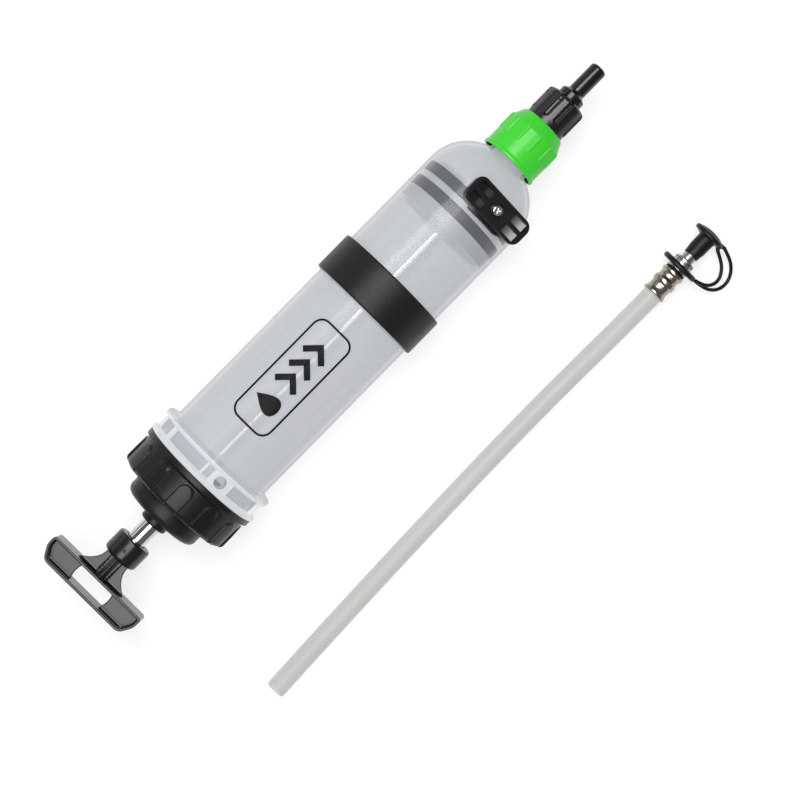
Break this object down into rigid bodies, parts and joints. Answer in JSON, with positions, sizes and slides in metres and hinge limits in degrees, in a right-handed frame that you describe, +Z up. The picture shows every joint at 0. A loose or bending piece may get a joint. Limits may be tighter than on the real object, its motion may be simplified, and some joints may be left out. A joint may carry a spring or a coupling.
{
  "type": "fluid transfer pump",
  "caption": "Hand pump for workshop fluids: clear barrel with piston and T handle, screwed outlet nozzle, and a loose clear hose with a crimped coupling and tethered dust cap.",
  "frame": {"origin": "on the ground under the middle of the pump, which lies on its rear flange with its axis level 50 mm up", "axes": "+X along the pump towards the nozzle, +Y to its left, +Z up; the loose hose lies on the -Y side"},
  "size_m": [0.5336, 0.2293, 0.1075],
  "materials": {
    "clear_plastic": "milky translucent polypropylene",
    "white_plastic": "matte moulded",
    "black_plastic": "satin to glossy moulded",
    "band_plastic": "matte",
    "green_plastic": "glossy moulded, bright green",
    "black_rubber": "soft satin rubber",
    "polished_steel": "polished",
    "bright_steel": "bright zinc",
    "crimped_steel": "nickel plated, crimped",
    "hose_vinyl": "clear vinyl, slightly milky"
  },
  "bodies": {
    "barrel": {"barrel": "clear_plastic", "grip_band": "band_plastic", "bracket": "black_plastic", "bracket_screw": "bright_steel"},
    "end_plug": {"end_plug": "black_plastic", "rod_bush": "black_plastic", "rod_seal": "black_rubber", "plug_o_ring": "black_rubber"},
    "ring_nut": {"end_ring_nut": "black_plastic"},
    "piston": {"piston_rear": "white_plastic", "piston_front": "white_plastic", "seal_rear": "black_rubber", "seal_front": "black_rubber"},
    "rod_and_handle": {"rod": "polished_steel", "handle": "black_plastic", "handle_pin": "bright_steel", "piston_nut": "bright_steel", "piston_washer": "bright_steel"},
    "outlet": {"outlet_connector": "black_plastic", "outlet_gasket": "black_rubber", "nozzle": "black_plastic", "nozzle_o_ring": "black_rubber"},
    "union_nut": {"union_nut": "green_plastic"},
    "hose": {"hose": "hose_vinyl", "ferrule": "crimped_steel", "ferrule_ring": "black_plastic", "coupler": "crimped_steel", "tether_ring": "black_rubber", "strap_outer": "black_rubber", "strap_inner": "black_rubber"},
    "dust_cap": {"dust_cap": "black_rubber"}
  },
  "joints": [
    {"name": "end_plug_slide", "type": "slide", "parent": "barrel", "child": "end_plug", "axis": [-1, 0, 0], "range_m": [0, 0.0091]},
    {"name": "ring_nut_turn", "type": "hinge", "parent": "end_plug", "child": "ring_nut", "pos_m": [-0.16, 0, 0.05], "axis": [-1, 0, 0], "range_deg": [0, 1080]},
    {"name": "piston_slide", "type": "slide", "parent": "barrel", "child": "piston", "axis": [-1, 0, 0], "range_m": [0, 0.245]},
    {"name": "rod_turn", "type": "hinge", "parent": "piston", "child": "rod_and_handle", "pos_m": [0, 0, 0.05], "axis": [1, 0, 0], "continuous": true},
    {"name": "outlet_slide", "type": "slide", "parent": "barrel", "child": "outlet", "axis": [1, 0, 0], "range_m": [0, 0.0121]},
    {"name": "union_nut_turn", "type": "hinge", "parent": "outlet", "child": "union_nut", "pos_m": [0.19, 0, 0.05], "axis": [1, 0, 0], "range_deg": [0, 1440]},
    {"name": "hose_lift", "type": "slide", "parent": "barrel", "child": "hose", "axis": [0, 0, 1], "range_m": [0, 0.15]},
    {"name": "dust_cap_pull", "type": "slide", "parent": "hose", "child": "dust_cap", "axis": [1, 0, 0], "range_m": [0, 0.018]}
  ],
  "couplings": [
    {"joint": "end_plug_slide", "follows": "ring_nut_turn", "m_per_rad": 0.00047746},
    {"joint": "outlet_slide", "follows": "union_nut_turn", "m_per_rad": 0.00047746}
  ]
}
